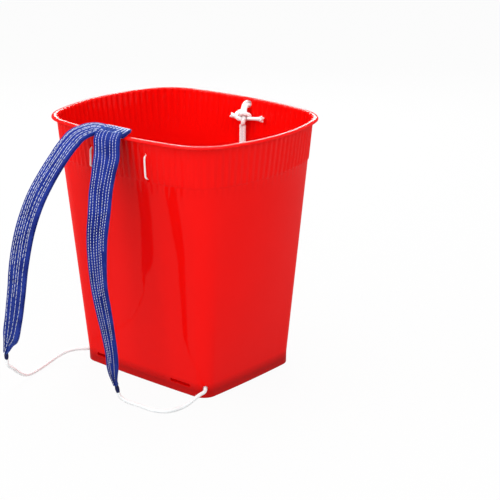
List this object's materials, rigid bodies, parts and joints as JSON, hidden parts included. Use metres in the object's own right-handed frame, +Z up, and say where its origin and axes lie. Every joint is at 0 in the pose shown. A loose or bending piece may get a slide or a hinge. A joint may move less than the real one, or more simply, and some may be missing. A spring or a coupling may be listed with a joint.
{
  "type": "back basket",
  "caption": "Tapered moulded carrying basket with a ribbed band under its lip, cloth shoulder straps over one wall, ropes to the base corners and a rope sling tied inside.",
  "frame": {"origin": "centre of the tub's underside", "axes": "+Z up, -Y towards the wall that carries the straps, +X to the right when that wall is faced"},
  "size_m": [0.38, 0.433, 0.4016],
  "materials": {
    "tub_plastic": "glossy moulded",
    "strap_cloth": "quilted cotton, white stitches",
    "binding_thread": "wound thread",
    "white_rope": "braided",
    "lashing_cord": "twisted"
  },
  "bodies": {
    "basket": {"basket_tub": "tub_plastic", "strap_yoke": "strap_cloth", "lower_rope_left": "white_rope", "lower_rope_right": "white_rope", "stopper_knot_left": "white_rope", "stopper_knot_right": "white_rope", "lashing_cord": "lashing_cord", "lashing_knot": "lashing_cord", "sling_strand_left": "white_rope", "sling_strand_right": "white_rope", "sling_knot": "white_rope", "sling_tail_left": "white_rope", "sling_tail_right": "white_rope"},
    "left_strap": {"strap_left": "strap_cloth", "strap_binding_left": "binding_thread"},
    "right_strap": {"strap_right": "strap_cloth", "strap_binding_right": "binding_thread"}
  },
  "joints": [
    {"name": "left_strap_swing", "type": "hinge", "parent": "basket", "child": "left_strap", "pos_m": [-0.0415, -0.1578, 0.3933], "axis": [-1, 0, 0], "range_deg": [-20, 4.5], "deforming": ["lower_rope_left"]},
    {"name": "right_strap_swing", "type": "hinge", "parent": "basket", "child": "right_strap", "pos_m": [0.0025, -0.1578, 0.3933], "axis": [-1, 0, 0], "range_deg": [-12, 6], "deforming": ["lower_rope_right"]}
  ]
}
